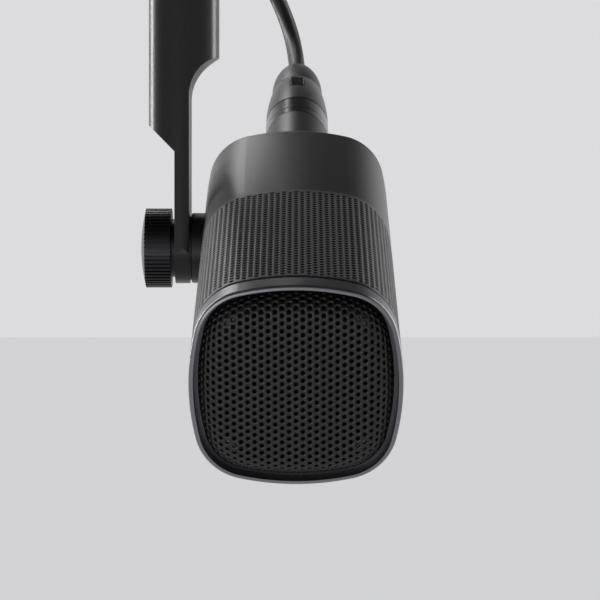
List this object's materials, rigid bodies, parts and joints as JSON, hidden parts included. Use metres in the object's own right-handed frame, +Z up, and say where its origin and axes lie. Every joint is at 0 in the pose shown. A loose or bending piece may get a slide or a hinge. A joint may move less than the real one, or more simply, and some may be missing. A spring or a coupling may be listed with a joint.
{
  "type": "ribbon microphone",
  "caption": "End-address ribbon microphone with a perforated rounded-square body, tilting on a side hanger arm with a ribbed clamp knob, and its plugged-in cable coiled and tied to the arm",
  "frame": {"origin": "mouth of the threaded stand socket at the top of the arm, on its axis", "axes": "+Z up along the arm, the microphone's grille faces -Y and 20.5 degrees down, the microphone lies on the +X side of the arm"},
  "size_m": [0.0882, 0.3285, 0.2891],
  "materials": {
    "hanger_arm": "black anodised, satin",
    "thread_insert": "turned brass, threaded",
    "friction_washer": "black nylon",
    "pivot_boss": "black anodised, satin",
    "boss_nut": "zinc plated",
    "clamp_collar": "black anodised, turned",
    "clamp_knob": "black anodised, ribbed",
    "clamp_stud": "machined steel",
    "bezel_ring": "black anodised, bead blasted",
    "grille_cap": "perforated steel, black powder coat",
    "grille_foam": "open cell foam",
    "perforated_sleeve": "perforated steel, black satin coat",
    "sleeve_liner": "fine woven acoustic cloth",
    "rear_housing": "black anodised, satin",
    "tie_rods": "turned steel",
    "tie_screws": "zinc plated",
    "motor_carrier": "milled aluminium",
    "rubber_mounts": "black rubber",
    "magnet_yoke": "soft iron, plated",
    "magnet_left": "nickel plated magnet",
    "magnet_right": "nickel plated magnet",
    "pole_piece_left": "soft iron",
    "pole_piece_right": "soft iron",
    "ribbon": "corrugated foil",
    "ribbon_clamps": "brass bar",
    "clamp_screws": "brass",
    "transformer_core": "laminated steel",
    "transformer_winding": "enamelled wire under tape",
    "tail_tube": "black anodised, satin",
    "tail_insert": "moulded insulator",
    "tail_pins": "gold flashed pins",
    "plug_ring": "black chrome",
    "plug_collar": "black chrome",
    "plug_insert": "moulded insulator",
    "plug_shell": "black satin",
    "latch_button": "black chrome",
    "cable_grip": "moulded",
    "plug_boot": "moulded, satin black",
    "cable_lead": "black jacket",
    "cable_coil": "black jacket",
    "cable_tail": "black jacket",
    "cable_tie": "hook and loop strap",
    "far_boot": "moulded, satin black",
    "far_shell": "black satin",
    "far_socket": "black chrome",
    "far_insert": "moulded insulator",
    "far_pins": "gold flashed pins"
  },
  "bodies": {
    "arm": {"hanger_arm": "hanger_arm", "thread_insert": "thread_insert", "cable_lead": "cable_lead", "cable_coil": "cable_coil", "cable_tail": "cable_tail", "cable_tie": "cable_tie", "far_boot": "far_boot", "far_shell": "far_shell", "far_socket": "far_socket", "far_insert": "far_insert", "far_pins": "far_pins"},
    "collar": {"clamp_collar": "clamp_collar"},
    "knob": {"clamp_knob": "clamp_knob", "clamp_stud": "clamp_stud"},
    "latch": {"latch_button": "latch_button"},
    "microphone": {"friction_washer": "friction_washer", "pivot_boss": "pivot_boss", "boss_nut": "boss_nut", "bezel_ring": "bezel_ring", "grille_cap": "grille_cap", "grille_foam": "grille_foam", "perforated_sleeve": "perforated_sleeve", "sleeve_liner": "sleeve_liner", "rear_housing": "rear_housing", "tie_rods": "tie_rods", "tie_screws": "tie_screws", "motor_carrier": "motor_carrier", "rubber_mounts": "rubber_mounts", "magnet_yoke": "magnet_yoke", "magnet_left": "magnet_left", "magnet_right": "magnet_right", "pole_piece_left": "pole_piece_left", "pole_piece_right": "pole_piece_right", "ribbon": "ribbon", "ribbon_clamps": "ribbon_clamps", "clamp_screws": "clamp_screws", "transformer_core": "transformer_core", "transformer_winding": "transformer_winding", "tail_tube": "tail_tube", "tail_insert": "tail_insert", "tail_pins": "tail_pins", "plug_ring": "plug_ring", "plug_collar": "plug_collar", "plug_insert": "plug_insert", "plug_shell": "plug_shell", "cable_grip": "cable_grip", "plug_boot": "plug_boot"}
  },
  "joints": [
    {"name": "tilt", "type": "hinge", "parent": "arm", "child": "microphone", "pos_m": [0, 0, -0.225], "axis": [1, 0, 0], "range_deg": [-60, 69.5], "deforming": ["cable_lead"]},
    {"name": "collar_slide", "type": "slide", "parent": "microphone", "child": "collar", "axis": [-1, 0, 0], "range_m": [0, 0.002]},
    {"name": "knob_turn", "type": "hinge", "parent": "collar", "child": "knob", "pos_m": [0, 0, -0.225], "axis": [-1, 0, 0], "range_deg": [0, 720]},
    {"name": "latch_press", "type": "slide", "parent": "microphone", "child": "latch", "axis": [0, 0.3502, -0.9367], "range_m": [0, 0.0008], "stiffness_N_per_m": 1500}
  ],
  "couplings": [
    {"joint": "collar_slide", "follows": "knob_turn", "m_per_rad": 0.00015915}
  ]
}
